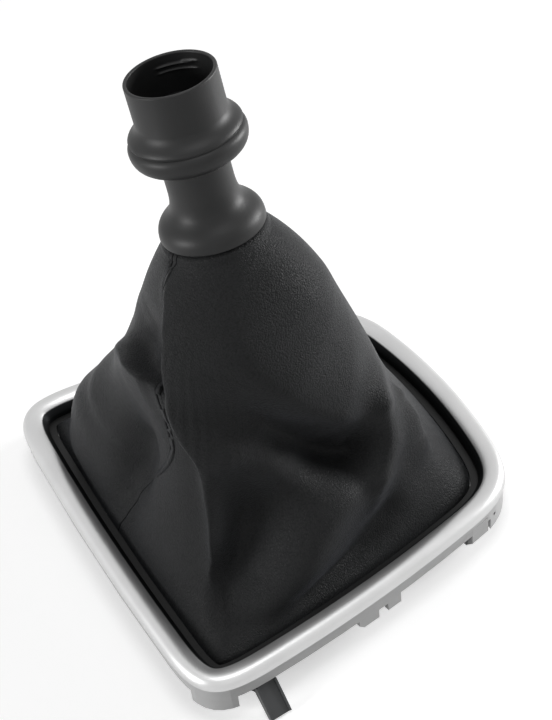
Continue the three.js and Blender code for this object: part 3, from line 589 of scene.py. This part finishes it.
# How a fold moves the leather: a smooth distance to its route, so that folds join without a crease
def foldMove(fold, points, normals):
    route = np.array(fold["route"], float)
    line = throughStops(plainPoint(np.radians(route[:, 0]), route[:, 1]), boot["foldSteps"])
    reach = (fold["left"] + fold["right"]) / 4
    total = np.full(len(points), 1e-300)
    share = np.zeros(len(points))
    offset = np.zeros(len(points))
    leaning = np.zeros_like(points)
    for k in range(boot["foldSteps"]):
        run = line[k + 1] - line[k]
        length = np.linalg.norm(run)
        away = points - (line[k] + line[k + 1]) / 2
        sideways = np.cross(normals, run / length)
        weight = length * np.exp(-np.einsum("ij,ij->i", away, away) / reach ** 2)
        total += weight
        share += weight * (k + 0.5) / boot["foldSteps"]
        offset += weight * np.einsum("ij,ij->i", sideways, away)
        leaning += sideways * weight[:, None]
    distance = reach * np.sqrt(np.maximum(0, -np.log(total / (reach * math.sqrt(math.pi)))))
    turned = np.tanh(1.5 * offset / total / (reach / 2 + distance)) / math.tanh(1.5)
    width = fold["right"] + (fold["left"] - fold["right"]) * (1 + turned) / 2
    lift = valueAlong(fold["heights"], np.clip(share / total, 0, 1))
    lift = lift * np.exp(-(distance / width) ** (2 - 0.8 * fold["sharp"]))
    leaning /= total[:, None]
    leaning /= np.maximum(np.linalg.norm(leaning, axis=1), 1e-6)[:, None]
    return (normals + leaning * fold["lean"]) * lift[:, None]


def bootPoint(direct, share):
    shape = direct.shape
    points = plainPoint(direct, share).reshape(-1, 3)
    normals = normalOf(plainPoint, direct, share).reshape(-1, 3)
    hold = (smooth(share, 0, 0.06) * (1 - share ** 12)).reshape(-1)
    move = sum(foldMove(fold, points, normals) for fold in folds)
    return (points + move * hold[:, None]).reshape(*shape, 3)


# Columns share out the sill between two seams; the last few turn inwards at each seam
def evenAngles(start, end, places):
    fine = np.linspace(start, end, 4001)
    distance = sillDistance(fine)
    line = np.stack([distance * np.cos(fine), distance * np.sin(fine)], axis=-1)
    lengths = np.concatenate([[0], np.cumsum(np.linalg.norm(np.diff(line, axis=0), axis=1))])
    return np.interp(places * lengths[-1], lengths, fine)


seam = {"edges": [0, 0, 0.08, 0.26, 0.6], "depths": [2.8, 0.7, 0.26, 0.07, 0.0]}


def swayAt(share):
    begin, full, ease, gone = boot["swayShares"]
    return smooth(share, begin, full) * (1 - smooth(share, ease, gone))


# A panel's points from the lower hem, over the folds, to the end of the turned-in top hem
def panelGrid(start, end, wideFirst):
    inner = np.linspace(0, 1, boot["columns"] + 1)[1:-1]
    count = len(seam["edges"])
    places = np.concatenate([np.zeros(count), inner, np.ones(count)])
    fromEdge = np.concatenate([seam["edges"], np.zeros(len(inner)), -np.array(seam["edges"])[::-1]])
    gap = np.concatenate([np.ones(count), np.zeros(len(inner)), -np.ones(count)]) * boot["seamGap"] / 2 + fromEdge
    sink = np.concatenate([seam["depths"], np.zeros(len(inner)), seam["depths"][::-1]])
    hemAngles = evenAngles(start, end, places)
    topAngles = start + (end - start) * places + math.radians(boot["collarTwist"])
    sway = (1 - places if wideFirst else places) ** 2 * math.radians(boot["seamSway"])
    groups = []
    lap = np.linspace(boot["lapLow"], boot["lapHigh"], 4)
    direct = np.repeat((hemAngles + gap / lapDistance(hemAngles))[:, None], len(lap), axis=1)
    distance = lapDistance(direct) - sink[:, None]
    groups.append(np.stack([distance * np.cos(direct), distance * np.sin(direct), lap + 0 * direct], axis=-1))
    share = np.linspace(0, 1, boot["rows"] + 1)[:-1] + 0 * hemAngles[:, None]
    direct = hemAngles[:, None] * (1 - share) + topAngles[:, None] * share + sway[:, None] * swayAt(share)
    radius = np.linalg.norm(plainPoint(direct, share)[..., :2], axis=-1)
    points = bootPoint(direct + gap[:, None] / radius, share)
    edge = sink > 0
    points[edge] -= normalOf(bootPoint, direct[edge], share[edge]) * sink[edge][:, None, None]
    groups.append(points)
    turn = np.radians(np.linspace(0, 180, 13)) + 0 * topAngles[:, None]
    direct = topAngles[:, None] + gap[:, None] / boot["topRadius"] + 0 * turn
    foldRadius = boot["foldRadius"] - sink[:, None] * 0.3
    centre = boot["topRadius"] + boot["foldRadius"]
    groups.append(topPoint(direct, centre + foldRadius * np.cos(turn), foldRadius * np.sin(turn) - boot["topDrop"]))
    hem = -boot["topDrop"] - boot["topHemLap"] * np.linspace(0, 1, 5)[1:] + 0 * topAngles[:, None]
    direct = topAngles[:, None] + gap[:, None] / boot["topRadius"] + 0 * hem
    groups.append(topPoint(direct, boot["topRadius"] + sink[:, None] * 0.3 + 0 * hem, hem))
    return np.concatenate(groups, axis=1) * mm


def makePanel(name, start, end, node, wideFirst):
    grid = panelGrid(start, end, wideFirst)
    columns, rows = grid.shape[:2]
    bm = bmesh.new()
    bmesh.ops.create_grid(bm, x_segments=columns - 1, y_segments=rows - 1, size=1, calc_uvs=False)
    mesh = meshFrom(bm, name)
    flat = np.zeros(len(mesh.vertices) * 3)
    mesh.vertices.foreach_get("co", flat)
    flat = flat.reshape(-1, 3)
    i = np.rint((flat[:, 0] + 1) / 2 * (columns - 1)).astype(int)
    j = np.rint((flat[:, 1] + 1) / 2 * (rows - 1)).astype(int)
    mesh.vertices.foreach_set("co", grid[i, j].ravel())
    mesh.update()
    mesh.shade_smooth()
    piece = newPiece(name, mesh, blackLeather, "black_leather", node)
    wall = piece.modifiers.new("wall", "SOLIDIFY")
    wall.thickness = boot["thickness"] * mm
    wall.offset = -1
    return piece


wideSeam = -math.pi - math.atan2(boot["seamOffset"], outline["length"] / 2)
narrowSeam = math.atan2(boot["seamOffset"], outline["length"] / 2)
makePanel("near_leather", wideSeam, narrowSeam, "near_leather_panel", True)
makePanel("far_leather", narrowSeam, wideSeam + 2 * math.pi, "far_leather_panel", False)
print("leather made")

# Collar, millimetres along its own leaning axis from the bell's rim
collar = {
    "bell": 38, "bellHeight": 10.5, "bellWall": 2, "neck": 23.6, "ring": 41.5, "ringBase": 29.6, "ringHeight": 14,
    "cup": 32, "cupWall": 1.4, "cupDepth": 14.5, "height": 60, "bore": 17, "spigot": 25, "spigotLength": 14,
    "steps": 192,
    "ledges": [(62, 26, 4.2, 0.45), (40, 12, 3.6, 0.4), (58, 30, 6.3, 0.3)],
}


def collarSection():
    bell, neck, ring, cup, bore, spigot = (collar[k] / 2 for k in ("bell", "neck", "ring", "cup", "bore", "spigot"))
    flare = bell - neck
    ringBase = collar["ringBase"]
    crest = ringBase + collar["ringHeight"] * 0.7
    ringTop = ringBase + collar["ringHeight"]
    hollow = cup - collar["cupWall"]
    top = collar["height"]
    deep = collar["cupDepth"]
    rise = collar["bellHeight"]
    wall = collar["bellWall"]
    lip = collar["cupWall"]
    return sampled((bore, -collar["spigotLength"]), [
        [(spigot, -collar["spigotLength"])],
        [(spigot, rise / 2)],
        [(bell - wall, rise / 2), (bell - wall / 2, 0)],
        [(bell - 0.35, 0)],
        [(bell, 0), (bell, 0.35)],
        [(bell, wall / 2)],
        [(bell, rise * 0.55), (neck + flare * 0.55, rise * 0.62), (neck + flare * 0.3, rise * 0.86)],
        [(neck, rise * 1.1), (neck, rise * 1.7)],
        [(neck, ringBase - 2.2)],
        [(neck + 2.2, ringBase - 2.2), (neck + 2.4, ringBase - 0.6)],
        [(neck + 2.9, ringBase)],
        [(ring - 1.4, ringBase), (ring, ringBase + 2.8), (ring, ringBase + 5.9)],
        [(ring, crest - 2.2), (ring - 1.3, crest - 1.2)],
        [(ring - 0.9, crest)],
        [(ring - 1.6, crest + 2), (cup + 0.8, ringTop - 2), (cup, ringTop + 1.5)],
        [(cup, top - lip / 2)],
        [(cup, top), (cup - lip / 2, top)],
        [(hollow, top), (hollow, top - lip / 2)],
        *[[(hollow - lip / 4 * k / 30, top - 1 - 0.35 * k)] for k in range(31)],
        [(hollow - lip / 4, top - deep)],
        [(bore, top - deep)],
    ], 10)


def makeCollar():
    section = collarSection()
    bm = bmesh.new()
    loop = [bm.verts.new((p.x * mm, 0, p.y * mm)) for p in section]
    for a, b in zip(loop, loop[1:] + loop[:1]):
        bm.edges.new((a, b))
    bmesh.ops.spin(
        bm, geom=bm.verts[:] + bm.edges[:], cent=(0, 0, 0), axis=(0, 0, 1), dvec=(0, 0, 0),
        angle=2 * math.pi, steps=collar["steps"], use_merge=True, use_normal_flip=False, use_duplicate=False)
    bmesh.ops.remove_doubles(bm, verts=bm.verts[:], dist=1e-7)
    for vertex in bm.verts:
        radius = vertex.co.xy.length / mm
        depth = collar["height"] - vertex.co.z / mm
        if collar["cup"] / 2 - 2.2 < radius < collar["cup"] / 2 - 1.2 and 0.9 < depth < 12:
            facing = math.degrees(math.atan2(vertex.co.y, vertex.co.x))
            for middle, reach, level, rise in collar["ledges"]:
                share = math.exp(-((facing - middle) / reach) ** 8 - ((depth - level) / 0.35) ** 2)
                vertex.co.xy *= 1 - rise * share / radius
    bmesh.ops.recalc_face_normals(bm, faces=bm.faces[:])
    turn = Vector((0, 0, 1)).rotation_difference(Vector(collarAxis)).to_matrix().to_4x4()
    bmesh.ops.transform(bm, matrix=Matrix.Translation(Vector(collarFoot) * mm) @ turn, verts=bm.verts[:])
    mesh = meshFrom(bm, "collar_moulding")
    smoothShading(mesh, 34)
    return newPiece("collar_moulding", mesh, blackRubber, "black_rubber", "collar")


makeCollar()
print("collar made")

# Stage: pale floor, white surroundings for the camera and reflections, and soft lights
studio = {
    "floor": 0.82, "floorGlow": 0.5, "ambient": 0.14,
    "lights": [
        ("left", (-1.15, 0.05, 0.4), 0.4, 7.0),
        ("right", (1.15, -0.12, 0.34), 0.4, 13.0),
        ("top", (0.0, -0.1, 1.3), 0.5, 3.4),
        ("front", (-0.3, -1.2, 0.8), 0.8, 0.4),
    ],
}


def seenDirectly(finish):
    rays = finish.tree.nodes.new("ShaderNodeLightPath")
    seen = Link(finish, rays.outputs["Is Camera Ray"])
    shiny = Link(finish, rays.outputs["Is Glossy Ray"])
    through = Link(finish, rays.outputs["Is Transmission Ray"])
    return seen + shiny + through


def makeFloor():
    bm = bmesh.new()
    bmesh.ops.create_grid(bm, x_segments=4, y_segments=4, size=4)
    floor = bpy.data.objects.new("floor", meshFrom(bm, "floor"))
    bpy.context.scene.collection.objects.link(floor)
    pale = Finish("pale_floor", Roughness=1.0, Specular_IOR_Level=0.0)
    pale.feed("Base Color", (studio["floor"],) * 3 + (1,))
    pale.feed("Emission Color", (1, 1, 1, 1))
    pale.feed("Emission Strength", seenDirectly(pale) * studio["floorGlow"])
    floor.data.materials.append(pale.material)


def makeLights():
    for name, place, size, power in studio["lights"]:
        data = bpy.data.lights.new(name, "AREA")
        data.shape = "DISK"
        data.size = size
        data.energy = power
        light = bpy.data.objects.new(name, data)
        light.location = place
        light.rotation_euler = (Vector((0, 0, 0.08)) - Vector(place)).to_track_quat("-Z", "Y").to_euler()
        bpy.context.scene.collection.objects.link(light)


def makeSurroundings():
    world = bpy.data.worlds.new("surroundings")
    world.use_nodes = True
    bpy.context.scene.world = world
    nodes, links = world.node_tree.nodes, world.node_tree.links
    rays = nodes.new("ShaderNodeLightPath")
    add = nodes.new("ShaderNodeMath")
    add.operation = "MAXIMUM"
    links.new(rays.outputs["Is Camera Ray"], add.inputs[0])
    links.new(rays.outputs["Is Glossy Ray"], add.inputs[1])
    strength = nodes.new("ShaderNodeMapRange")
    links.new(add.outputs[0], strength.inputs["Value"])
    strength.inputs["To Min"].default_value = studio["ambient"]
    strength.inputs["To Max"].default_value = 1.0
    background = nodes["Background"]
    background.inputs["Color"].default_value = (1, 1, 1, 1)
    links.new(strength.outputs[0], background.inputs["Strength"])


makeFloor()
makeLights()
makeSurroundings()
bpy.context.scene.view_settings.view_transform = "Standard"
print("stage made")
